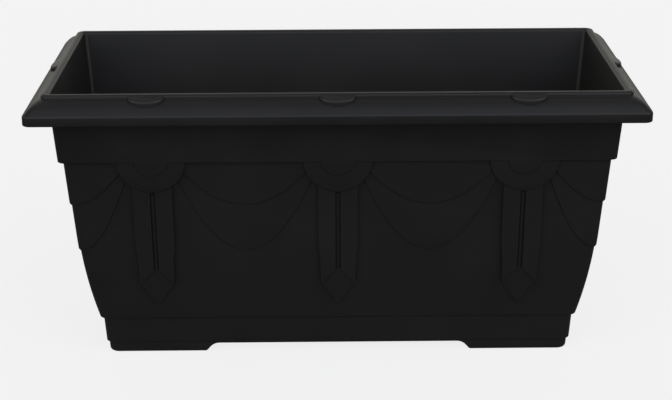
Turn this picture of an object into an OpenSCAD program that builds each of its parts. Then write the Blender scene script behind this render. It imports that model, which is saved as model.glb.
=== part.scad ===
// Rectangular moulded trough planter with swag relief, and its four drain plugs.
// Millimetres. The origin is on the floor under the middle; +X runs along the length,
// -Y is the front and +Z is up. An inset is measured inwards from the rim's outer edge,
// and a drop is measured down from the top of the rim.

/* [Overall] */
// Length over the rim, along X
rim_l = 585; // [540:5:700]
// Width over the rim, along Y
rim_w = 278; // [260:2:340]
// Height from the floor to the top of the rim
total_h = 285.6; // [279.6:2:329.6]
// Thickness of the moulded wall and floor
wall_t = 2.5; // [2:0.1:3]
// Plan radius of the outer upright corners
corner_r = 7; // [5:0.5:10]

/* [Rim] */
// Height of the rim, from its top to the skirt's lower edge
rim_h = 25.8; // [22.8:0.5:30.8]
// Height of the bead round the mouth above the sloping flange
bead_h = 4.2; // [3.6:0.2:6]
// Width of the sloping flange outside the bead
flange_w = 15.9; // [14:0.1:17]
// Fall of the flange from the bead's foot to the skirt
flange_fall = 12.3; // [10:0.1:13]
// Inset at which the flange steepens
knee_in = 8.3; // [7:0.1:9.5]
// Fall of the flange from the bead's foot to where it steepens
knee_fall = 3.2; // [2.4:0.1:3.8]
// Radius where the flange turns down into the skirt
shoulder_r = 4.5; // [3.5:0.5:8]
// Half the width of a rounded tab beside the bead
tab_half_w = 17.3; // [14:0.1:20]
// How far a rounded tab reaches out from the bead
tab_reach = 9.3; // [7:0.1:10]

/* [Wall] */
// How far the skirt stands out from the wall at the skirt's lower edge
overhang = 22.7; // [21:0.1:26]
// Draft of the plain band under the rim, in degrees
band_draft = 4; // [2:0.5:5]
// Drop of the band's lower edge
band_drop = 70.2; // [60:0.2:80]
// Set-back of the upper drape behind the band's lower edge
band_step = 4.4; // [3:0.1:6]
// Draft of the panel below the band, in degrees
panel_draft = 3.9; // [2:0.1:5]
// Drop at which the wall begins to curve inwards
curve_drop = 149.5; // [130:0.5:170]
// Extra inset that the curve gives at the wall's lower edge
curve_in = 8.4; // [4:0.1:12]
// Height of the plain plinth below the curved wall
plinth_h = 27.6; // [22:0.2:34]
// Set-back of the plinth behind the curved wall's lower edge
plinth_step = 2.7; // [2.2:0.1:4]
// Draft of the plinth, in degrees
plinth_draft = 3.3; // [1:0.1:5]

/* [Drapes] */
// How far the upper drape stands out from the lower one
upper_step = 1.6; // [1:0.1:2]
// How far the lower drape stands out from the wall
lower_step = 1.4; // [1:0.1:2]
// Drop of the upper drape's lowest points
upper_low = 115.5; // [108:0.5:125]
// Drop of the lower drape's lowest points
lower_low = 164.8; // [150:0.2:175]
// Drop at which the upper drape meets a medallion
upper_end = 82; // [78:0.5:88]
// Drop at which the lower drape meets a medallion
lower_end = 90; // [86:0.5:94]

/* [Medallions and pilasters] */
// Distance between the medallions of a long side
medallion_pitch = 178.3; // [165:0.1:190]
// Outer radius of a medallion's ring
ring_r = 33.4; // [30:0.1:37]
// Radius of a medallion's inner disc
disc_r = 16.7; // [14:0.1:20]
// How far a medallion's centre lies above the band's lower edge
medallion_rise = 2.5; // [1:0.5:5]
// Set-back of a medallion's ring behind its disc
ring_step = 1.3; // [0.8:0.1:2]
// How far a pilaster stands out from the wall
pilaster_proud = 4.2; // [3.4:0.1:4.5]
// Width of a pilaster under its medallion
pilaster_w = 38.4; // [34:0.2:44]
// Drop at which a pilaster narrows
waist_drop = 161; // [152:1:166]
// Height over which a pilaster narrows
waist_h = 10; // [4:0.5:14]
// Width of a pilaster below where it narrows
waist_w = 35.4; // [32:0.2:42]
// Width of a pilaster above its point
pilaster_low_w = 34; // [30:0.2:40]
// Drop at which a pilaster's point begins
point_drop = 202; // [195:0.5:208]
// Drop of the tip of a pilaster's point
tip_drop = 227; // [220:0.5:235]
// Drop of the upper corner of the facet on a pilaster's point
facet_drop = 184; // [178:0.5:190]
// Width of the groove down the middle of a pilaster
groove_w = 3.8; // [3:0.1:6]
// Depth of the groove down the middle of a pilaster
groove_depth = 1.8; // [1:0.1:2.5]

/* [Feet] */
// Height of the feet, up to the plinth's lower edge
foot_h = 13.4; // [9:0.2:18]
// Height of the arches between the feet, which is the clearance under the base
arch_h = 10.6; // [8:0.2:13]
// Set-back of the feet behind the plinth's lower edge
foot_step = 2; // [1:0.1:4]
// Radius of the feet's outer lower edge
foot_edge_r = 5; // [2:0.5:6]
// Opening between the feet of a long side, at the floor
foot_gap_x = 270; // [220:2:290]
// Opening between the feet of a short side, at the floor
foot_gap_y = 50; // [36:1:60]
// How much each end of a foot slopes in over its height
foot_slope = 9; // [4:0.5:12]

/* [Drainage] */
// Radius of a drain hole
hole_r = 10; // [6:0.5:12]
// Distance of the drain holes from the middle, along X
hole_x = 70; // [40:1:95]
// Distance of the drain holes from the middle, along Y
hole_y = 42; // [38:1:50]
// Gap all round between a plug's shank and its hole
plug_clearance = 0.15; // [0.1:0.05:0.3]
// How far a plug's head overlaps the floor round its hole
plug_lap = 4; // [3:0.5:6]
// Thickness of a plug's head
plug_head_t = 2.4; // [1.6:0.1:3.5]
// How far a plug's shank reaches below the base
plug_reach = 3; // [2:0.5:7]
// Height of the grip on a plug's head
grip_h = 8; // [5:0.5:12]
// Thickness of the grip on a plug's head
grip_t = 3; // [2:0.5:5]

/* [Hidden] */
$fn = 64;

// Facets of an upright corner, of a rounded edge of the section and of the curved wall
corner_n = 4;
edge_n = 4;
curve_n = 9;
drape_n = 14;

// Small radii of the moulding's edges
bead_r = 3;
skirt_r = 1.4;
lower_edge_r = 2.2;
soft_r = 0.8;
floor_r = 4;
foot_end_r = 12;
well_r = 6;
knee_r = 28;
plug_edge_r = 1;

// A groove starts this far below its medallion's ring
groove_gap = 1.5;

// A foot's outer face leans in by this much over its height
foot_lean = 0.8;

// Thickness of a plug's hollow shank
plug_wall = 1.7;

// Cutting and joining shapes reach this far past the face they meet
past = 1;

// Largest share of the bead's width that each of its rounded edges takes up
bead_share = 0.4;

// Share of a drape's half width that is drawn, so that its end runs on under the ring
under_ring = 1.08;

// Heights above the floor
skirt_z = total_h - rim_h;
flange_z = total_h - bead_h;
ledge_z = total_h - band_drop;
curve_z = total_h - curve_drop;
wall_z = foot_h + plinth_h;
floor_z = arch_h + wall_t;
medallion_z = ledge_z + medallion_rise;

// Slopes of the flange above and below its knee, and the turn between them
slope_in = atan(knee_fall / (flange_w - knee_in));
slope_out = atan((flange_fall - knee_fall) / knee_in);
knee_turn = slope_out - slope_in;
knee_z = flange_z - knee_fall;

// Width of the bead, and the radius that its edges have room for
bead_w = band_face(total_h) + wall_t - flange_w;
lip_r = min(bead_r, bead_w * bead_share);

// The knee of the flange's underside, one wall below the top, measured square to both slopes
under_in = knee_in + wall_t * sin((slope_in + slope_out) / 2) / cos(knee_turn / 2);
under_z = knee_z - wall_t * cos((slope_in + slope_out) / 2) / cos(knee_turn / 2);
ceiling_z = under_z + (flange_w - under_in) * tan(slope_in);

inner_r = corner_r - wall_t;
buried = wall_t / 2;

// Insets of the wall's faces at a height z
function band_face(z) = overhang + (skirt_z - z) * tan(band_draft);

function curve_share(z) = z < curve_z ? pow((curve_z - z) / (curve_z - wall_z), 2) : 0;

function wall_face(z) = band_face(ledge_z) + band_step + upper_step + lower_step
    + (ledge_z - z) * tan(panel_draft) + curve_in * curve_share(z);

function plinth_face(z) = wall_face(wall_z) + plinth_step + (wall_z - z) * tan(plinth_draft);

foot_inset = plinth_face(foot_h) + foot_step;

// Heights of the section's points on the curved wall, from z_low to z_high
function stations(z_low, z_high) = let (step = (curve_z - wall_z) / curve_n) concat(
    [z_low],
    [for (k = [1:curve_n]) let (z = wall_z + step * k) if (z > z_low + past && z < z_high - past) z],
    [z_high]
);

function reversed(list) = [for (k = [len(list) - 1:-1:0]) list[k]];

function unit(v) = v / norm(v);

// The corner b between a and c as an arc of radius r
function rounded_corner(a, b, c, r) = let (
    u = unit(a - b),
    v = unit(c - b),
    half = acos(u * v) / 2,
    centre = b + unit(u + v) * r / sin(half),
    from = b + u * r / tan(half) - centre,
    to = b + v * r / tan(half) - centre,
    start = atan2(from[1], from[0]),
    turn = (atan2(to[1], to[0]) - start + 540) % 360 - 180
) [for (k = [0:edge_n]) centre + r * [cos(start + turn * k / edge_n), sin(start + turn * k / edge_n)]];

// A closed outline of points [x, y, radius, ...] with the radii turned into arcs; what follows a radius is kept
function rounded(points) = [
    for (k = [0:len(points) - 1]) let (
        count = len(points),
        p = points[k],
        before = points[(k + count - 1) % count],
        after = points[(k + 1) % count],
        xy = [p[0], p[1]],
        tail = len(p) > 3 ? [p[3]] : []
    )
    if (p[2] == 0) concat(xy, tail)
    else for (q = rounded_corner([before[0], before[1]], xy, [after[0], after[1]], p[2])) concat(q, tail)
];

// One turn of points round the planter, at p = [inset, z, plan radius]
function turn_points(p) = let (
    x = rim_l / 2 - p[0] - p[2],
    y = rim_w / 2 - p[0] - p[2]
) [
    for (q = [0:3], k = [0:corner_n]) let (
        a = 90 * (q + k / corner_n),
        side_x = q == 0 || q == 3 ? 1 : -1,
        side_y = q < 2 ? 1 : -1
    ) [side_x * x + p[2] * cos(a), side_y * y + p[2] * sin(a), p[1]]
];

// A section of points [inset, z, plan radius], taken round the planter: solid to the middle, or a closed loop
module swept(section, closed) {
    per_turn = 4 * (corner_n + 1);
    turns = len(section);
    last = closed ? turns - 1 : turns - 2;
    walls = [
        for (k = [0:last], j = [0:per_turn - 1]) let (
            here = k * per_turn,
            next = (k + 1) % turns * per_turn,
            side = (j + 1) % per_turn
        ) [here + j, next + j, next + side, here + side]
    ];
    caps = closed ? [] : [
        [for (j = [0:per_turn - 1]) j],
        [for (j = [per_turn - 1:-1:0]) (turns - 1) * per_turn + j]
    ];
    polyhedron(points = [for (p = section) each turn_points(p)], faces = concat(walls, caps));
}

// A sheet that stands proud of the wall from z_low up to the band's underside, rooted in the wall
module proud_sheet(z_low, proud) {
    z_high = ledge_z + buried;
    heights = stations(z_low, z_high);
    swept(concat(
        [for (z = heights) [wall_face(z) - proud, z, corner_r]],
        [for (z = reversed(heights)) [wall_face(z) + buried, z, inner_r]]
    ), true);
}

// A sheet that continues the band's face below its lower edge, set back from it
module band_sheet(z_low, set_back) {
    z_high = ledge_z + buried;
    swept([
        [band_face(z_low) + set_back, z_low, corner_r],
        [band_face(z_high) + set_back, z_high, corner_r],
        [wall_face(z_high) + buried, z_high, inner_r],
        [wall_face(z_low) + buried, z_low, inner_r]
    ], true);
}

// Outlines pushed through the walls, to a given depth: the first on both long sides, the second on both short sides
module through_walls(depth) {
    for (a = [0, 180]) rotate([0, 0, a]) {
        translate([0, depth - rim_w / 2, 0]) rotate([90, 0, 0]) linear_extrude(depth) children(0);
        translate([rim_l / 2 - depth, 0, 0]) rotate([90, 0, 90]) linear_extrude(depth) children(1);
    }
}

// Half of a drape's edge, a parabola from under a medallion at x_end down to its lowest point at x_low
function drape_edge(x_end, x_low, z_end, z_low) = [
    for (k = [0:drape_n]) let (t = under_ring * (1 - k / drape_n))
        [x_low + (x_end - x_low) * t, z_low + (z_end - z_low) * t * t]
];

// The drape between two medallions, hung from x_left and x_right
module full_drape(x_left, x_right, z_end, z_low) {
    middle = (x_left + x_right) / 2;
    left = drape_edge(x_left, middle, z_end, z_low);
    right = drape_edge(x_right, middle, z_end, z_low);
    top = ledge_z + wall_t;
    polygon(concat(
        left,
        [for (k = [drape_n - 1:-1:0]) right[k]],
        [[right[0][0], top], [left[0][0], top]]
    ));
}

// The drape between the last medallion of a side and the corner, which it wraps at its lowest
module corner_drape(x_end, x_corner, z_end, z_low) {
    edge = drape_edge(x_end, x_corner, z_end, z_low);
    top = ledge_z + wall_t;
    for (side = [-1, 1]) scale([side, 1])
        polygon(concat(edge, [[rim_l, z_low], [rim_l, top], [edge[0][0], top]]));
}

// One drape of both kinds all round: how far it stands out, and the drops where it ends and where it is lowest
module drape(proud, end_drop, low_drop) {
    z_end = total_h - end_drop;
    z_low = total_h - low_drop;
    hang = sqrt(ring_r * ring_r - pow(medallion_z - z_end, 2));
    corner_inset = wall_face(z_low) - proud;
    intersection() {
        proud_sheet(z_low - past, proud);
        through_walls(wall_face(z_low) + buried) {
            union() {
                for (m = [-1, 0]) full_drape(
                    m * medallion_pitch + hang, (m + 1) * medallion_pitch - hang, z_end, z_low);
                corner_drape(medallion_pitch + hang, rim_l / 2 - corner_inset, z_end, z_low);
            }
            corner_drape(hang, rim_w / 2 - corner_inset, z_end, z_low);
        }
    }
}

module at_medallions() {
    through_walls(wall_face(wall_z) + buried) {
        for (m = [-1:1]) translate([m * medallion_pitch, 0]) children();
        children();
    }
}

module medallions() {
    intersection() {
        band_sheet(medallion_z - ring_r - past, ring_step);
        at_medallions() translate([0, medallion_z]) circle(ring_r);
    }
    intersection() {
        band_sheet(medallion_z - disc_r - past, 0);
        at_medallions() translate([0, medallion_z]) circle(disc_r);
    }
}

module pilaster_outline() {
    top = medallion_z - disc_r;
    shoulder = total_h - point_drop;
    narrow = total_h - waist_drop;
    polygon([
        [-pilaster_w / 2, top], [-pilaster_w / 2, narrow], [-waist_w / 2, narrow - waist_h],
        [-pilaster_low_w / 2, shoulder], [0, total_h - tip_drop], [pilaster_low_w / 2, shoulder],
        [waist_w / 2, narrow - waist_h], [pilaster_w / 2, narrow], [pilaster_w / 2, top]
    ]);
}

module facet_outline() {
    shoulder = total_h - point_drop;
    polygon([
        [0, total_h - facet_drop], [pilaster_low_w / 2, shoulder], [0, total_h - tip_drop],
        [-pilaster_low_w / 2, shoulder]
    ]);
}

module groove_outline() {
    top = medallion_z - ring_r - groove_gap;
    bottom = total_h - facet_drop - past;
    translate([-groove_w / 2, bottom]) square([groove_w, top - bottom]);
}

// The pilasters keep their full height above the facet, and the facet is a lower step
module pilasters() {
    z_low = total_h - tip_drop - past;
    intersection() {
        proud_sheet(z_low, pilaster_proud);
        at_medallions() difference() {
            pilaster_outline();
            facet_outline();
            groove_outline();
        }
    }
    intersection() {
        proud_sheet(z_low, pilaster_proud - groove_depth);
        at_medallions() pilaster_outline();
    }
}

module tab_outline() {
    polygon(concat(
        [for (a = [0:15:180]) [tab_half_w * cos(a), -tab_reach * sin(a)]],
        [[-tab_half_w, lip_r], [tab_half_w, lip_r]]
    ));
}

// Rounded tabs over the medallions, which slope from the bead's rounded edge out over the flange
module rim_tabs() {
    inner = flange_w + lip_r / 2;
    outer = flange_w - tab_reach - past;
    root = buried + knee_r * (1 / cos(knee_turn / 2) - 1);
    intersection() {
        swept([
            [inner, flange_z - buried, corner_r],
            [knee_in, knee_z - root, corner_r],
            [outer, knee_z - (knee_in - outer) * tan(slope_out) - root, corner_r],
            [outer, flange_z, corner_r],
            [inner, total_h - lip_r / 2, corner_r]
        ], true);
        for (a = [0, 180]) rotate([0, 0, a]) translate([0, 0, skirt_z]) linear_extrude(rim_h) {
            for (m = [-1:1]) translate([m * medallion_pitch, flange_w - rim_w / 2]) tab_outline();
            translate([rim_l / 2 - flange_w, 0]) rotate(90) tab_outline();
        }
    }
}

// The whole section: under the feet, up the outside, over the rim, down the inside and across the floor
function shell_section() = let (
    inner_ledge_z = ledge_z + wall_t,
    inner_wall_z = wall_z + wall_t
) rounded(concat(
    [
        [foot_inset + foot_edge_r * 2, 0, 0, corner_r],
        [foot_inset + foot_lean, 0, foot_edge_r, corner_r],
        [foot_inset, foot_h, 0, corner_r],
        [plinth_face(foot_h), foot_h, soft_r, corner_r],
        [plinth_face(wall_z), wall_z, 0, corner_r],
        [wall_face(wall_z), wall_z, lower_edge_r, corner_r]
    ],
    [
        for (z = stations(wall_z, ledge_z)) if (z > wall_z) [wall_face(z), z, 0, corner_r]
    ],
    [
        [band_face(ledge_z), ledge_z, soft_r, corner_r],
        [band_face(ceiling_z), ceiling_z, soft_r, corner_r],
        [flange_w, ceiling_z, 0, inner_r],
        [under_in, under_z, knee_r - wall_t, inner_r],
        [wall_t, under_z - (under_in - wall_t) * tan(slope_out), 0, inner_r],
        [wall_t, skirt_z, 0, inner_r],
        [0, skirt_z, skirt_r, corner_r],
        [0, flange_z - flange_fall, shoulder_r, corner_r],
        [knee_in, knee_z, knee_r, corner_r],
        [flange_w, flange_z, 0, corner_r],
        [flange_w, total_h, lip_r, corner_r],
        [band_face(total_h) + wall_t, total_h, lip_r, inner_r],
        [band_face(inner_ledge_z) + wall_t, inner_ledge_z, 0, inner_r]
    ],
    [
        for (z = reversed(stations(inner_wall_z, inner_ledge_z))) [wall_face(z) + wall_t, z, 0, inner_r]
    ],
    [
        [plinth_face(inner_wall_z) + wall_t, inner_wall_z, 0, inner_r],
        [plinth_face(floor_z) + wall_t, floor_z, floor_r, inner_r],
        [plinth_face(floor_z) + wall_t + floor_r * 2, floor_z, 0, inner_r]
    ]
));

// The arch between two feet, seen along the opening
module foot_arch(gap) {
    half = gap / 2;
    spread = foot_slope * past / arch_h;
    polygon(rounded([
        [half + spread, -past, 0],
        [half - foot_slope, arch_h, foot_end_r],
        [foot_slope - half, arch_h, foot_end_r],
        [-half - spread, -past, 0]
    ]));
}

module foot_arches() {
    rotate([90, 0, 0]) linear_extrude(rim_w, center = true) foot_arch(foot_gap_x);
    rotate([90, 0, 90]) linear_extrude(rim_l, center = true) foot_arch(foot_gap_y);
}

// The hollow of one foot, open to the inside
module foot_well() {
    outer = foot_inset + foot_edge_r / 2 + wall_t;
    x0 = foot_gap_x / 2 + wall_t;
    x1 = rim_l / 2 - outer;
    y0 = foot_gap_y / 2 + wall_t;
    y1 = rim_w / 2 - outer;
    edges = [for (p = [[x0, y0], [x1, y0], [x1, y1], [x0, y1]]) [p[0], p[1], well_r]];
    translate([0, 0, wall_t]) linear_extrude(arch_h + past)
        polygon(rounded(edges));
}

module at_holes() {
    for (side_x = [-1, 1], side_y = [-1, 1]) translate([side_x * hole_x, side_y * hole_y, 0]) children();
}

module trough() color("#202225") {
    difference() {
        swept(shell_section(), false);
        foot_arches();
        for (side_x = [-1, 1], side_y = [-1, 1]) scale([side_x, side_y, 1]) foot_well();
        at_holes() cylinder(r = hole_r, h = total_h / 2);
    }
    drape(lower_step, lower_end, lower_low);
    drape(lower_step + upper_step, upper_end, upper_low);
    medallions();
    pilasters();
    rim_tabs();
}

// A push-in bung: its head rests on the floor round the hole, and a grip pulls it out
module drain_plug() color("#2a2c2f") {
    shank_r = hole_r - plug_clearance;
    head_r = hole_r + plug_lap;
    bottom = -wall_t - plug_reach;
    bore_r = shank_r - plug_wall;
    rotate_extrude() polygon([
        [0, 0], [bore_r, 0], [bore_r, bottom], [shank_r - plug_edge_r, bottom],
        [shank_r, bottom + plug_edge_r], [shank_r, 0], [head_r, 0],
        [head_r, plug_head_t - plug_edge_r], [head_r - plug_edge_r, plug_head_t], [0, plug_head_t]
    ]);
    grip_r = head_r / 2;
    translate([0, grip_t / 2, 0]) rotate([90, 0, 0]) linear_extrude(grip_t) intersection() {
        translate([0, plug_head_t + grip_h - grip_r]) circle(grip_r);
        translate([-grip_r, plug_head_t / 2]) square([head_r, plug_head_t / 2 + grip_h]);
    }
}

module plug_at(side_x, side_y) {
    translate([side_x * hole_x, side_y * hole_y, floor_z]) drain_plug();
}

trough();
plug_at(-1, -1);  // drain_plug_front_left
plug_at(1, -1);  // drain_plug_front_right
plug_at(-1, 1);  // drain_plug_back_left
plug_at(1, 1);  // drain_plug_back_right
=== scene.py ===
"""The look of the rectangular moulded planter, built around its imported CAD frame."""

import math

import bmesh
import bpy
from mathutils import Matrix, Vector


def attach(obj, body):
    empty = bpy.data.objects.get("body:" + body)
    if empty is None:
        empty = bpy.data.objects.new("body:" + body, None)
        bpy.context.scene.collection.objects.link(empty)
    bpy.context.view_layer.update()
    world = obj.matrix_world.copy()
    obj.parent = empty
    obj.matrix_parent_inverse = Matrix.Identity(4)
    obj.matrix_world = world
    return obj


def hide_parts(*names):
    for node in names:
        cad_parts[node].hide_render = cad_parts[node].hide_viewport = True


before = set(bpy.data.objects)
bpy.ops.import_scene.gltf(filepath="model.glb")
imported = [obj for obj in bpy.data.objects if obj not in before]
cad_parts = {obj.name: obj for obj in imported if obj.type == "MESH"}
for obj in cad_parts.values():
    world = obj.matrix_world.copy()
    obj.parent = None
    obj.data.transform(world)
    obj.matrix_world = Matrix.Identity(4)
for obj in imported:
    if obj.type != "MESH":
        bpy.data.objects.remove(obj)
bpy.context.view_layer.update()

# Lengths are in millimetres and angles in degrees. This block repeats the CAD's own sizes
MM = 0.001
RIM_L = 585
RIM_W = 278
TOTAL_H = 285.6
WALL_T = 2.5
CORNER_R = 7
RIM_H = 25.8
BEAD_H = 4.2
FLANGE_W = 15.9
FLANGE_FALL = 12.3
KNEE_IN = 8.3
KNEE_FALL = 3.2
KNEE_R = 28
TAB_HALF_W = 17.3
TAB_REACH = 9.3
OVERHANG = 22.7
BAND_DRAFT = 4
BAND_DROP = 70.2
BAND_STEP = 4.4
PANEL_DRAFT = 3.9
CURVE_DROP = 149.5
CURVE_IN = 8.4
PLINTH_H = 27.6
PLINTH_STEP = 2.7
PLINTH_DRAFT = 3.3
UPPER_STEP = 1.6
LOWER_STEP = 1.4
UPPER_LOW = 115.5
LOWER_LOW = 164.8
UPPER_END = 82
LOWER_END = 90
MEDALLION_PITCH = 178.3
RING_R = 33.4
DISC_R = 16.7
MEDALLION_RISE = 2.5
RING_STEP = 1.3
PILASTER_PROUD = 4.2
PILASTER_W = 38.4
WAIST_DROP = 161
WAIST_H = 10
WAIST_W = 35.4
PILASTER_LOW_W = 34
POINT_DROP = 202
TIP_DROP = 227
FACET_DROP = 184
GROOVE_W = 3.8
GROOVE_DEPTH = 1.8
GROOVE_GAP = 1.5
FOOT_H = 13.4
ARCH_H = 10.6
FOOT_STEP = 2
FOOT_EDGE_R = 5
FOOT_LEAN = 0.8
FOOT_GAP_X = 270
FOOT_GAP_Y = 50
FOOT_SLOPE = 9
FOOT_END_R = 12
WELL_R = 6
HOLE_R = 10
HOLE_X = 70
HOLE_Y = 42

# The slits along a pilaster's groove, which the CAD doesn't have
SLIT_W = 1.1
SLIT_DEPTH = 1.5
SLIT_R = 0.3

# Radii of the moulding's edges, chosen for the look, so that some differ from the CAD's
BEAD_R = 3
BEAD_OUTER_R = 2.6
SHOULDER_R = 3
SKIRT_R = 1.4
LOWER_EDGE_R = 2.2
LEDGE_R = 0.8
FLOOR_R = 4
DRAPE_R = 0.7
MEDALLION_R = 0.7
PILASTER_R = 0.5
TAB_R = 2.2

# How deep the relief is rooted in the wall, and how far each layer of it reaches up into the band.
# The reaches all differ, so that no two faces coincide
ROOT = 1.2
LOWER_REACH = 1.1
RING_REACH = 1.2
UPPER_REACH = 1.3
DISC_REACH = 1.4

# Small steps that keep the faces of the disc, the strips and their base from coinciding
DISC_PROUD = 0.01
STRIP_LAP = 1
BASE_SLACK = 0.05

# How far a drape runs on under its ring, as a share of its half width, and how far past a tab's end
# its slope comes down to the flange
UNDER_RING = 1.08
TAB_SPARE = 1

# How far the cutters of the arches, wells and drain holes reach past what they cut
ARCH_PAST = 1
SIDE_PAST = 10
WELL_PAST = 5
HOLE_LOW = 5
HOLE_HIGH = 50

# How finely curves are cut, and the angle from which an edge is shaded sharp
CORNER_N = 12
EDGE_N = 5
CURVE_N = 36
ARC_N = 56
TAB_N = 28
HOLE_N = 64
DRAPE_COLUMNS = 40
DRAPE_ROWS = 12
SHARP_ANGLE = 28

# A depth that marks a plate's rooted points, and the least divisor where a sharp corner is moved
FAR = 1000
LEAST_OPENING = 0.2

SKIRT_Z = TOTAL_H - RIM_H
FLANGE_Z = TOTAL_H - BEAD_H
LEDGE_Z = TOTAL_H - BAND_DROP
CURVE_Z = TOTAL_H - CURVE_DROP
WALL_Z = FOOT_H + PLINTH_H
FLOOR_Z = ARCH_H + WALL_T
MEDALLION_Z = LEDGE_Z + MEDALLION_RISE
KNEE_Z = FLANGE_Z - KNEE_FALL
SLOPE_IN = math.atan(KNEE_FALL / (FLANGE_W - KNEE_IN))
SLOPE_OUT = math.atan((FLANGE_FALL - KNEE_FALL) / KNEE_IN)
KNEE_REACH = WALL_T / math.cos((SLOPE_OUT - SLOPE_IN) / 2)
UNDER_IN = KNEE_IN + KNEE_REACH * math.sin((SLOPE_IN + SLOPE_OUT) / 2)
UNDER_Z = KNEE_Z - KNEE_REACH * math.cos((SLOPE_IN + SLOPE_OUT) / 2)
CEILING_Z = UNDER_Z + (FLANGE_W - UNDER_IN) * math.tan(SLOPE_IN)
TAB_ROOT = WALL_T / 2 + KNEE_R * (1 / math.cos((SLOPE_OUT - SLOPE_IN) / 2) - 1)
INNER_R = CORNER_R - WALL_T
RELIEF_STEP = UPPER_STEP + LOWER_STEP


def tan(degrees):
    return math.tan(math.radians(degrees))


def band_face(z):
    """Inset of the plain band under the rim, from the rim's outer edge."""
    return OVERHANG + (SKIRT_Z - z) * tan(BAND_DRAFT)


def wall_face(z):
    """Inset of the panel below the band."""
    curve = max(0.0, (CURVE_Z - z) / (CURVE_Z - WALL_Z))
    ledge = band_face(LEDGE_Z) + BAND_STEP + RELIEF_STEP
    return ledge + (LEDGE_Z - z) * tan(PANEL_DRAFT) + CURVE_IN * curve**2


def plinth_face(z):
    return wall_face(WALL_Z) + PLINTH_STEP + (WALL_Z - z) * tan(PLINTH_DRAFT)


def rounded(points, steps=EDGE_N):
    """A closed outline of (x, y, radius, ...) with each radius turned into an arc."""
    out = []
    count = len(points)
    for k, (x, y, radius, *tail) in enumerate(points):
        if radius == 0:
            out.append((x, y, *tail))
            continue
        here = Vector((x, y))
        u = (Vector(points[k - 1][:2]) - here).normalized()
        v = (Vector(points[(k + 1) % count][:2]) - here).normalized()
        half = math.acos(max(-1, min(1, u.dot(v)))) / 2
        centre = here + (u + v).normalized() * radius / math.sin(half)
        start = here + u * radius / math.tan(half) - centre
        turn = (here + v * radius / math.tan(half) - centre).angle_signed(start)
        for j in range(steps + 1):
            q = centre + Matrix.Rotation(turn * j / steps, 2) @ start
            out.append((q.x, q.y, *tail))
    return out


def mesh_object(name, verts, faces):
    """An object from points in millimetres, with its faces turned outwards."""
    mesh = bpy.data.meshes.new(name)
    mesh.from_pydata([Vector(v) * MM for v in verts], [], faces)
    bm = bmesh.new()
    bm.from_mesh(mesh)
    bmesh.ops.recalc_face_normals(bm, faces=bm.faces)
    bm.to_mesh(mesh)
    bm.free()
    obj = bpy.data.objects.new(name, mesh)
    bpy.context.scene.collection.objects.link(obj)
    return obj


def turn_points(inset, z, plan_r):
    """One turn of points round the planter."""
    x = RIM_L / 2 - inset - plan_r
    y = RIM_W / 2 - inset - plan_r
    out = []
    for q in range(4):
        side_x = 1 if q in (0, 3) else -1
        side_y = 1 if q < 2 else -1
        for k in range(CORNER_N + 1):
            a = math.radians(90 * (q + k / CORNER_N))
            out.append((side_x * x + plan_r * math.cos(a), side_y * y + plan_r * math.sin(a), z))
    return out


def swept(name, section):
    """A section of (inset, z, plan radius) taken round the planter, solid to the middle."""
    per_turn = 4 * (CORNER_N + 1)
    verts = [v for p in section for v in turn_points(*p)]
    faces = []
    for k in range(len(section) - 1):
        for j in range(per_turn):
            side = (j + 1) % per_turn
            here, beyond = k * per_turn, (k + 1) * per_turn
            faces.append((here + j, beyond + j, beyond + side, here + side))
    last = (len(section) - 1) * per_turn
    faces.append(tuple(range(per_turn)))
    faces.append(tuple(last + j for j in range(per_turn)))
    return mesh_object(name, verts, faces)


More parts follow.
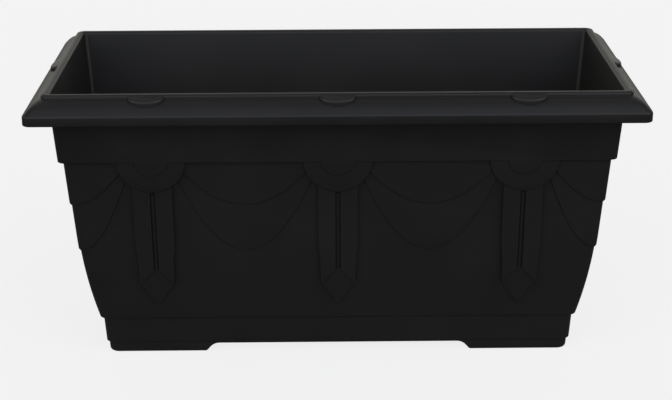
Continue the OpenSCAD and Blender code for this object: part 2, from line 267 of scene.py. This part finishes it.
def shell_section():
    """Under the feet, up the outside, over the rim, down the inside and across the floor."""
    inner_ledge = LEDGE_Z + WALL_T
    inner_wall = WALL_Z + WALL_T
    foot = plinth_face(FOOT_H) + FOOT_STEP

    def wall(z_from, z_to, extra, plan_r):
        return [
            (wall_face(z) + extra, z, 0, plan_r)
            for z in (z_from + (z_to - z_from) * k / CURVE_N for k in range(1, CURVE_N + 1))
        ]

    outline = [
        (foot + FOOT_EDGE_R * 2, 0, 0, CORNER_R),
        (foot + FOOT_LEAN, 0, FOOT_EDGE_R, CORNER_R),
        (foot, FOOT_H, LEDGE_R / 2, CORNER_R),
        (plinth_face(FOOT_H), FOOT_H, LEDGE_R, CORNER_R),
        (plinth_face(WALL_Z), WALL_Z, LEDGE_R / 2, CORNER_R),
        (wall_face(WALL_Z), WALL_Z, LOWER_EDGE_R, CORNER_R),
        *wall(WALL_Z, CURVE_Z, 0, CORNER_R),
        (wall_face(LEDGE_Z), LEDGE_Z, 0, CORNER_R),
        (band_face(LEDGE_Z), LEDGE_Z, LEDGE_R, CORNER_R),
        (band_face(CEILING_Z), CEILING_Z, LEDGE_R, CORNER_R),
        (FLANGE_W, CEILING_Z, 0, INNER_R),
        (UNDER_IN, UNDER_Z, KNEE_R - WALL_T, INNER_R),
        (WALL_T, UNDER_Z - (UNDER_IN - WALL_T) * math.tan(SLOPE_OUT), 0, INNER_R),
        (WALL_T, SKIRT_Z, LEDGE_R, INNER_R),
        (0, SKIRT_Z, SKIRT_R, CORNER_R),
        (0, FLANGE_Z - FLANGE_FALL, SHOULDER_R, CORNER_R),
        (KNEE_IN, KNEE_Z, KNEE_R, CORNER_R),
        (FLANGE_W, FLANGE_Z, LEDGE_R / 2, CORNER_R),
        (FLANGE_W, TOTAL_H, BEAD_OUTER_R, CORNER_R),
        (band_face(TOTAL_H) + WALL_T, TOTAL_H, BEAD_R, INNER_R),
        (band_face(inner_ledge) + WALL_T, inner_ledge, LEDGE_R, INNER_R),
        (wall_face(inner_ledge) + WALL_T, inner_ledge, LEDGE_R, INNER_R),
        *wall(CURVE_Z, inner_wall, WALL_T, INNER_R),
        (plinth_face(inner_wall) + WALL_T, inner_wall, LEDGE_R, INNER_R),
        (plinth_face(FLOOR_Z) + WALL_T, FLOOR_Z, FLOOR_R, INNER_R),
        (plinth_face(FLOOR_Z) + WALL_T + FLOOR_R * 2, FLOOR_Z, 0, INNER_R),
    ]
    return rounded(outline)


def on_side(side, s, inset, z):
    """The point at s along a side, counted 0 front, 1 right, 2 back, 3 left."""
    depth = (RIM_L if side % 2 else RIM_W) / 2
    x, y = s, inset - depth
    return [(x, y, z), (-y, x, z), (-x, -y, z), (y, -x, z)][side]


def prism(name, outline, place, low, high):
    """An outline carried from low to high along a direction by place(x, y, depth)."""
    count = len(outline)
    verts = [place(x, y, low) for x, y in outline] + [place(x, y, high) for x, y in outline]
    faces = [(k, (k + 1) % count, count + (k + 1) % count, count + k) for k in range(count)]
    faces += [tuple(range(count)), tuple(range(count, 2 * count))]
    return mesh_object(name, verts, faces)


def grown(outline, distance):
    """A counter-clockwise outline moved inwards by a distance, corner by corner."""
    out = []
    count = len(outline)
    for k in range(count):
        a, b, c = (Vector(outline[i % count]) for i in (k - 1, k, k + 1))
        u, v = (b - a).normalized(), (c - b).normalized()
        nu, nv = Vector((-u.y, u.x)), Vector((-v.y, v.x))
        out.append(tuple(b + (nu + nv) * distance / max(LEAST_OPENING, 1 + nu.dot(nv))))
    return out


def plate(name, outline, face, radius, sides, heights, root=ROOT):
    """A raised plate with rounded edges, rooted in the wall of every listed (side, s)."""
    verts, faces = [], []
    rings = [(0, None), (0, radius)]
    for k in range(1, EDGE_N + 1):
        a = math.radians(90 * k / EDGE_N)
        rings.append((radius * (1 - math.cos(a)), radius * (1 - math.sin(a))))
    count = len(outline)
    for shrink, below in rings:
        for x, z in grown(outline, shrink):
            verts.append((x, -FAR if below is None else -below, z))
    for k in range(len(rings) - 1):
        for j in range(count):
            i = (j + 1) % count
            faces.append((k * count + j, k * count + i, (k + 1) * count + i, (k + 1) * count + j))
    faces.append(tuple(range(count)))
    faces.append(tuple((len(rings) - 1) * count + j for j in range(count)))
    bm = bmesh.new()
    points = [bm.verts.new(v) for v in verts]
    for f in faces:
        bm.faces.new([points[i] for i in f])
    for z in heights:
        everything = bm.verts[:] + bm.edges[:] + bm.faces[:]
        bmesh.ops.bisect_plane(bm, geom=everything, plane_co=(0, 0, z), plane_no=(0, 0, 1))
    flat = [v.co.copy() for v in bm.verts]
    index = {v: i for i, v in enumerate(bm.verts)}
    shape = [tuple(index[v] for v in f.verts) for f in bm.faces]
    bm.free()
    all_verts, all_faces = [], []
    for side, s in sides:
        start = len(all_verts)
        for v in flat:
            inset = wall_face(v.z) + root if v.y < -FAR / 2 else face(v.z) - v.y
            all_verts.append(on_side(side, s + v.x, inset, v.z))
        all_faces += [tuple(start + i for i in f) for f in shape]
    return mesh_object(name, all_verts, all_faces)


def drape(name, proud, end_drop, low_drop, top):
    """All the drapes of one layer, the full ones and those that turn a corner."""
    z_end, z_low = TOTAL_H - end_drop, TOTAL_H - low_drop
    hang = math.sqrt(RING_R**2 - (MEDALLION_Z - z_end) ** 2)
    verts, faces = [], []

    def patch(half, place):
        def edge(t):
            return z_low + (z_end - z_low) * t * t

        grid = []
        for k in range(DRAPE_COLUMNS + 1):
            t = UNDER_RING * (2 * k / DRAPE_COLUMNS - 1)
            slope = math.hypot(1, 2 * (z_end - z_low) * t / half)
            column = [(edge(t), -ROOT), (edge(t), proud - DRAPE_R)]
            for j in range(1, EDGE_N + 1):
                a = math.radians(90 * j / EDGE_N)
                rise = DRAPE_R * (1 - math.cos(a)) * slope
                column.append((edge(t) + rise, proud - DRAPE_R * (1 - math.sin(a))))
            first = column[-1][0]
            column += [
                (first + (top - first) * j / DRAPE_ROWS, proud) for j in range(1, DRAPE_ROWS + 1)
            ]
            column.append((top, -ROOT))
            grid.append([place(t, z, height) for z, height in column])
        start = len(verts)
        size = len(grid[0])
        for column in grid:
            verts.extend(column)
        for k in range(DRAPE_COLUMNS):
            for j in range(size):
                i = (j + 1) % size
                a, b = start + k * size, start + (k + 1) * size
                faces.append((a + j, b + j, b + i, a + i))
        faces.append(tuple(start + j for j in range(size)))
        faces.append(tuple(start + DRAPE_COLUMNS * size + j for j in range(size)))

    half = MEDALLION_PITCH / 2 - hang
    for side in (0, 2):
        for middle in (-MEDALLION_PITCH / 2, MEDALLION_PITCH / 2):
            patch(half, lambda t, z, h: on_side(side, middle + t * half, wall_face(z) - h, z))
    for side in range(4):
        first = MEDALLION_PITCH + hang if side % 2 == 0 else hang
        second = hang if side % 2 == 0 else MEDALLION_PITCH + hang
        depth_1 = (RIM_L if side % 2 == 0 else RIM_W) / 2
        depth_2 = (RIM_W if side % 2 == 0 else RIM_L) / 2
        arc = CORNER_R * math.pi / 2
        low_inset = wall_face(z_low) - proud
        run_1 = depth_1 - low_inset - CORNER_R - first
        run_2 = depth_2 - low_inset - CORNER_R - second

        def corner(t, z, h, side=side, first=first, second=second, run_1=run_1, run_2=run_2):
            inset = wall_face(z) - h
            end_1, end_2 = depth_1 - inset - CORNER_R, depth_2 - inset - CORNER_R
            if t < 0:
                along = (run_1 + arc / 2) * (1 + t)
                if along <= run_1:
                    s = first + (end_1 - first) * along / run_1
                    return on_side(side, s, inset, z)
                angle = (along - run_1) / CORNER_R
            else:
                along = (run_2 + arc / 2) * (1 - t)
                if along <= run_2:
                    s = second + (end_2 - second) * along / run_2
                    return on_side((side + 1) % 4, -s, inset, z)
                angle = math.pi / 2 - (along - run_2) / CORNER_R
            s = end_1 + CORNER_R * math.sin(angle)
            return on_side(side, s, inset + CORNER_R * (1 - math.cos(angle)), z)

        patch((run_1 + run_2 + arc) / 2, corner)
    return mesh_object(name, verts, faces)


def boolean(target, tool, operation):
    modifier = target.modifiers.new("boolean", "BOOLEAN")
    modifier.object = tool
    modifier.operation = operation
    modifier.solver = "MANIFOLD"
    depsgraph = bpy.context.evaluated_depsgraph_get()
    result = bpy.data.meshes.new_from_object(target.evaluated_get(depsgraph))
    target.modifiers.clear()
    target.data = result
    bpy.data.objects.remove(tool)


MEDALLIONS = [(side, s) for side in (0, 2) for s in (-MEDALLION_PITCH, 0, MEDALLION_PITCH)]
MEDALLIONS += [(1, 0), (3, 0)]


def arc_points(radius, low_z):
    """The part of a medallion's circle that lies below a height, counter-clockwise."""
    dip = math.asin((low_z - MEDALLION_Z) / radius)
    start, end = math.pi - dip, 2 * math.pi + dip
    out = []
    for k in range(ARC_N + 1):
        a = start + (end - start) * k / ARC_N
        out.append((radius * math.cos(a), MEDALLION_Z + radius * math.sin(a)))
    return out


def flange_face(inset):
    """Height of the flange before its knee is rounded."""
    if inset > KNEE_IN:
        return FLANGE_Z - max(0, FLANGE_W - inset) * math.tan(SLOPE_IN)
    return KNEE_Z - (KNEE_IN - inset) * math.tan(SLOPE_OUT)


def rim_tabs():
    """Rounded tabs that slope from the bead's rounded edge out over the flange."""
    verts, faces = [], []
    outer, outer_z = FLANGE_W - TAB_REACH - TAB_SPARE, FLANGE_Z
    inner, inner_z = FLANGE_W + BEAD_OUTER_R / 2, TOTAL_H - BEAD_OUTER_R / 4
    slope = (inner_z - outer_z) / (inner - outer)
    outline = [(TAB_HALF_W, FLANGE_W + BEAD_R)]
    for k in range(TAB_N + 1):
        a = math.pi * k / TAB_N
        outline.append((TAB_HALF_W * math.cos(a), FLANGE_W - TAB_REACH * math.sin(a)))
    outline.append((-TAB_HALF_W, FLANGE_W + BEAD_R))
    outline = [(x, inset) for x, inset in reversed(outline)]
    rings = [(0, None), (0, TAB_R)]
    for k in range(1, EDGE_N + 1):
        a = math.radians(90 * k / EDGE_N)
        rings.append((TAB_R * (1 - math.cos(a)), TAB_R * (1 - math.sin(a))))
    count = len(outline)
    for side, s in MEDALLIONS:
        start = len(verts)
        for shrink, below in rings:
            for x, inset in grown(outline, shrink):
                top = outer_z + (inset - outer) * slope
                z = flange_face(inset) - TAB_ROOT if below is None else top - below
                verts.append(on_side(side, s + x, inset, z))
        for k in range(len(rings) - 1):
            for j in range(count):
                i = (j + 1) % count
                a, b = start + k * count, start + (k + 1) * count
                faces.append((a + j, a + i, b + i, b + j))
        faces.append(tuple(start + j for j in range(count)))
        faces.append(tuple(start + (len(rings) - 1) * count + j for j in range(count)))
    return mesh_object("tabs", verts, faces)


def build_trough():
    trough = swept("trough_shell", shell_section())
    shoulder = TOTAL_H - POINT_DROP
    tip = TOTAL_H - TIP_DROP
    apex = TOTAL_H - FACET_DROP
    groove_top = MEDALLION_Z - RING_R - GROOVE_GAP
    half, low_half, groove = PILASTER_W / 2, PILASTER_LOW_W / 2, GROOVE_W / 2
    waist, narrow = WAIST_W / 2, TOTAL_H - WAIST_DROP
    top = MEDALLION_Z - DISC_R
    meet = apex - groove * (apex - shoulder) / low_half
    stations = [WALL_Z + (CURVE_Z - WALL_Z) * k / CURVE_N for k in range(1, CURVE_N + 1)]
    base = [
        (BASE_SLACK - half, top), (BASE_SLACK - half, narrow),
        (BASE_SLACK - waist, narrow - WAIST_H), (BASE_SLACK - low_half, shoulder), (0, tip),
        (low_half - BASE_SLACK, shoulder), (waist - BASE_SLACK, narrow - WAIST_H),
        (half - BASE_SLACK, narrow), (half - BASE_SLACK, top),
    ]
    strips = [
        (-half, top - STRIP_LAP), (-half, narrow), (-waist, narrow - WAIST_H), (-low_half, shoulder),
        (-groove, meet), (-groove, groove_top), (groove, groove_top), (groove, meet),
        (low_half, shoulder), (waist, narrow - WAIST_H), (half, narrow), (half, top - STRIP_LAP),
    ]
    edge, lip = (GROOVE_W + SLIT_W) / 2, (GROOVE_W - SLIT_W) / 2
    slit_low, slit_top = meet + SLIT_W, groove_top - SLIT_R
    slits = [
        (-edge, slit_low), (-lip, slit_low), (-lip, slit_top - SLIT_W), (lip, slit_top - SLIT_W),
        (lip, slit_low), (edge, slit_low), (edge, slit_top), (-edge, slit_top),
    ]
    low_face = PILASTER_PROUD - GROOVE_DEPTH
    lower = drape("lower", LOWER_STEP, LOWER_END, LOWER_LOW, LEDGE_Z + LOWER_REACH)
    boolean(trough, lower, "UNION")
    upper = drape("upper", RELIEF_STEP, UPPER_END, UPPER_LOW, LEDGE_Z + UPPER_REACH)
    boolean(trough, upper, "UNION")
    ring = arc_points(RING_R, LEDGE_Z + RING_REACH)
    disc = arc_points(DISC_R, LEDGE_Z + DISC_REACH)
    plates = [
        ("base", base, lambda z: wall_face(z) - low_face, PILASTER_R),
        ("strips", strips, lambda z: wall_face(z) - PILASTER_PROUD, PILASTER_R),
        ("ring", ring, lambda z: band_face(z) + RING_STEP, MEDALLION_R),
        ("disc", disc, lambda z: band_face(z) - DISC_PROUD, MEDALLION_R),
    ]
    for name, outline, face, radius in plates:
        boolean(trough, plate(name, outline, face, radius, MEDALLIONS, stations), "UNION")
    slit_root = SLIT_DEPTH - low_face
    slit = plate(
        "slits", slits, lambda z: wall_face(z) - PILASTER_PROUD - SLIT_W, SLIT_R, MEDALLIONS, stations,
        slit_root,
    )
    boolean(trough, slit, "DIFFERENCE")
    boolean(trough, rim_tabs(), "UNION")

    spread = FOOT_SLOPE * ARCH_PAST / ARCH_H
    for side, gap in ((0, FOOT_GAP_X), (1, FOOT_GAP_Y)):
        half_gap = gap / 2
        arch = rounded([
            (half_gap + spread, -ARCH_PAST, 0),
            (half_gap - FOOT_SLOPE, ARCH_H, FOOT_END_R),
            (FOOT_SLOPE - half_gap, ARCH_H, FOOT_END_R),
            (-half_gap - spread, -ARCH_PAST, 0),
        ])
        cutter = prism(
            "arch", arch, lambda x, z, y: on_side(side, x, y, z), -SIDE_PAST, RIM_L + SIDE_PAST
        )
        boolean(trough, cutter, "DIFFERENCE")
    outer = plinth_face(FOOT_H) + FOOT_STEP + FOOT_EDGE_R / 2 + WALL_T
    x0, x1 = FOOT_GAP_X / 2 + WALL_T, RIM_L / 2 - outer
    y0, y1 = FOOT_GAP_Y / 2 + WALL_T, RIM_W / 2 - outer
    well = rounded([(x, y, WELL_R) for x, y in ((x0, y0), (x1, y0), (x1, y1), (x0, y1))])
    turns = [2 * math.pi * k / HOLE_N for k in range(HOLE_N)]
    hole = [(HOLE_R * math.cos(a), HOLE_R * math.sin(a)) for a in turns]
    for sx in (-1, 1):
        for sy in (-1, 1):
            cutter = prism(
                "well", well, lambda x, y, z: (sx * x, sy * y, z), WALL_T, FLOOR_Z + WELL_PAST
            )
            boolean(trough, cutter, "DIFFERENCE")
            cutter = prism(
                "hole", hole, lambda x, y, z: (sx * HOLE_X + x, sy * HOLE_Y + y, z), HOLE_LOW, HOLE_HIGH
            )
            boolean(trough, cutter, "DIFFERENCE")
    mesh = trough.data
    mesh.name = "trough_shell"
    mesh.shade_smooth()
    mesh.set_sharp_from_angle(angle=math.radians(SHARP_ANGLE))
    return trough


def adder(node_tree):
    """A function that adds nodes to an emptied tree, with values or links as inputs."""
    node_tree.nodes.clear()

    def add(kind, inputs=(), **settings):
        node = node_tree.nodes.new(kind)
        for key, value in settings.items():
            setattr(node, key, value)
        for key, value in dict(inputs).items():
            if isinstance(value, bpy.types.NodeSocket):
                node_tree.links.new(value, node.inputs[key])
            else:
                node.inputs[key].default_value = value
        return node

    return add


def tree(name):
    material = bpy.data.materials.new(name)
    material.use_nodes = True
    return material, adder(material.node_tree)


# The plastic: its faint clouds and fine grain, and how far they change its shade, gloss and surface
CLOUD_SCALE = 14.0
CLOUD_DETAIL = 4.0
CLOUD_ROUGHNESS = 0.55
CLOUD_LOW = 0.3
CLOUD_HIGH = 0.7
SHADE_LOW = 0.85
SHADE_HIGH = 1.15
SMOOTHER = 0.03
ROUGHER = 0.04
GRAIN_DETAIL = 3.0
GRAIN_ROUGHNESS = 0.6
GRAIN_STRENGTH = 0.12
GRAIN_DEPTH = 0.0003
TROUGH_COLOUR = (0.0134, 0.0133, 0.0132)
TROUGH_ROUGHNESS = 0.42
TROUGH_GRAIN = 2600.0
PLUG_COLOUR = (0.0150, 0.0149, 0.0148)
PLUG_ROUGHNESS = 0.38
PLUG_GRAIN = 3000.0


def plastic(name, colour, roughness, grain):
    """Satin moulded plastic: a fine mould grain, and faint clouds in its shade and gloss."""
    material, add = tree(name)
    where = add("ShaderNodeTexCoord").outputs["Object"]
    clouds = add("ShaderNodeTexNoise", {
        "Vector": where, "Scale": CLOUD_SCALE, "Detail": CLOUD_DETAIL, "Roughness": CLOUD_ROUGHNESS,
    })
    fine = add("ShaderNodeTexNoise", {
        "Vector": where, "Scale": grain, "Detail": GRAIN_DETAIL, "Roughness": GRAIN_ROUGHNESS,
    })
    tint = add("ShaderNodeMapRange", {
        "Value": clouds.outputs["Fac"], "From Min": CLOUD_LOW, "From Max": CLOUD_HIGH,
        "To Min": SHADE_LOW, "To Max": SHADE_HIGH,
    })
    shade = add("ShaderNodeVectorMath", {0: colour, "Scale": tint.outputs["Result"]}, operation="SCALE")
    rough = add("ShaderNodeMapRange", {
        "Value": clouds.outputs["Fac"], "From Min": CLOUD_LOW, "From Max": CLOUD_HIGH,
        "To Min": roughness - SMOOTHER, "To Max": roughness + ROUGHER,
    })
    bump = add("ShaderNodeBump", {
        "Height": fine.outputs["Fac"], "Strength": GRAIN_STRENGTH, "Distance": GRAIN_DEPTH,
    })
    shader = add("ShaderNodeBsdfPrincipled", {
        "Base Color": shade.outputs["Vector"],
        "Roughness": rough.outputs["Result"],
        "Normal": bump.outputs["Normal"],
    })
    add("ShaderNodeOutputMaterial", {"Surface": shader.outputs["BSDF"]})
    return material


trough = build_trough()
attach(trough, "trough")
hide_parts("trough")
trough.data.materials.clear()
trough_plastic = plastic("trough_plastic", TROUGH_COLOUR, TROUGH_ROUGHNESS, TROUGH_GRAIN)
trough.data.materials.append(trough_plastic)
plug_plastic = plastic("plug_plastic", PLUG_COLOUR, PLUG_ROUGHNESS, PLUG_GRAIN)
for name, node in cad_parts.items():
    if name.startswith("drain_plug"):
        node.data.materials.clear()
        node.data.materials.append(plug_plastic)

# The floor glows for the camera only, so that it stays pale and keeps its shadow. The light that it
# throws back on the planter fades with the distance from the middle, in metres
FLOOR_HALF = 9000
FLOOR_GLOW = 0.82
PALE = (0.9, 0.9, 0.9, 1)
FADE_START, FADE_END = 0.22, 0.55
NEAR_GREY, FAR_GREY = 0.30, 0.17

floor_corners = [(x * FLOOR_HALF, y * FLOOR_HALF, 0) for x, y in ((-1, -1), (1, -1), (1, 1), (-1, 1))]
floor = mesh_object("floor", floor_corners, [(0, 1, 2, 3)])
material, add = tree("floor")
seen = add("ShaderNodeLightPath").outputs["Is Camera Ray"]
glow = add("ShaderNodeEmission", {"Color": (1, 1, 1, 1), "Strength": 1.0})
pale = add("ShaderNodeBsdfDiffuse", {"Color": PALE})
place = add("ShaderNodeTexCoord").outputs["Object"]
away = add("ShaderNodeVectorMath", {0: place}, operation="LENGTH").outputs["Value"]
fade = add("ShaderNodeMapRange", {
    "Value": away, "From Min": FADE_START, "From Max": FADE_END, "To Min": NEAR_GREY, "To Max": FAR_GREY,
})
dull = add("ShaderNodeBsdfDiffuse", {"Color": fade.outputs["Result"]})
to_camera = add("ShaderNodeMixShader", {0: FLOOR_GLOW, 1: pale.outputs[0], 2: glow.outputs[0]})
mix = add("ShaderNodeMixShader", {0: seen, 1: dull.outputs[0], 2: to_camera.outputs[0]})
add("ShaderNodeOutputMaterial", {"Surface": mix.outputs[0]})
floor.data.materials.append(material)

# A plain studio: soft panels in front and at both sides, dimmer ones behind, even light from the rest
WARM = (1.0, 0.98, 0.9)
COOL = (0.9, 0.95, 1.15)
PANELS = [
    # (degrees above the horizon, degrees round from the front to the right, strength, tint)
    (10, 0, 0.55, COOL),
    (35, 0, 0.25, COOL),
    (60, 0, 0.4, COOL),
    (25, -45, 1.2, WARM),
    (25, 45, 1.1, WARM),
    (50, 45, 0.3, COOL),
    (25, -80, 0.4, WARM),
    (25, 80, 0.35, WARM),
    (15, -150, 0.6, WARM),
    (15, 150, 0.6, WARM),
    (60, 180, 0.25, WARM),
    (5, 180, 0.3, WARM),
]
# How far from its middle a panel ends, and how far out it is at its full strength, in degrees
PANEL_EDGE = 32
PANEL_CORE = 4
REST_OF_ROOM = (0.08, 0.08, 0.085)
BACKDROP = (0.88, 0.88, 0.88, 1)

world = bpy.data.worlds.new("studio")
bpy.context.scene.world = world
world.use_nodes = True
add = adder(world.node_tree)
where = add("ShaderNodeTexCoord").outputs["Generated"]


def glow_towards(up, round_right, strength, tint):
    """A round panel of light that fades out from its core to its edge."""
    up, turn = math.radians(up), math.radians(round_right)
    direction = (math.sin(turn) * math.cos(up), -math.cos(turn) * math.cos(up), math.sin(up))
    colour = tuple(strength * c for c in tint)
    near = add("ShaderNodeVectorMath", {0: where, 1: direction}, operation="DOT_PRODUCT")
    share = add("ShaderNodeMapRange", {
        "Value": near.outputs["Value"],
        "From Min": math.cos(math.radians(PANEL_EDGE)),
        "From Max": math.cos(math.radians(PANEL_CORE)),
    }, interpolation_type="SMOOTHSTEP")
    return add("ShaderNodeVectorMath", {0: colour, "Scale": share.outputs["Result"]}, operation="SCALE")


total = REST_OF_ROOM
for panel in PANELS:
    light = glow_towards(*panel)
    total = add("ShaderNodeVectorMath", {0: light.outputs["Vector"], 1: total}).outputs["Vector"]
around = add("ShaderNodeBackground", {"Color": total})
behind = add("ShaderNodeBackground", {"Color": BACKDROP})
seen = add("ShaderNodeLightPath").outputs["Is Camera Ray"]
mix = add("ShaderNodeMixShader", {0: seen, 1: around.outputs[0], 2: behind.outputs[0]})
add("ShaderNodeOutputWorld", {"Surface": mix.outputs[0]})

# The camera, fitted to the photograph: its sensor in millimetres, its focal length and the
# photograph's width in pixels, its place in metres, and how it is turned in degrees
SENSOR_W = 36
FOCAL_PX = 1560
PHOTO_PX = 672
CAMERA_PLACE = (-0.0139, -1.514, 0.6976)
CAMERA_TURN = -0.49
CAMERA_DOWN = 20.39
CAMERA_ROLL = -0.25
CLIP_START, CLIP_END = 0.05, 100

camera = bpy.data.cameras.new("camera")
camera.lens = SENSOR_W * FOCAL_PX / PHOTO_PX
camera.sensor_width = SENSOR_W
camera.clip_start = CLIP_START
camera.clip_end = CLIP_END
eye = bpy.data.objects.new("camera", camera)
bpy.context.scene.collection.objects.link(eye)
look = (
    Matrix.Rotation(math.radians(CAMERA_TURN), 4, "Z")
    @ Matrix.Rotation(math.radians(90 - CAMERA_DOWN), 4, "X")
    @ Matrix.Rotation(math.radians(CAMERA_ROLL), 4, "Z")
)
eye.matrix_world = Matrix.Translation(CAMERA_PLACE) @ look
bpy.context.scene.camera = eye

bpy.context.scene.view_settings.view_transform = "Standard"
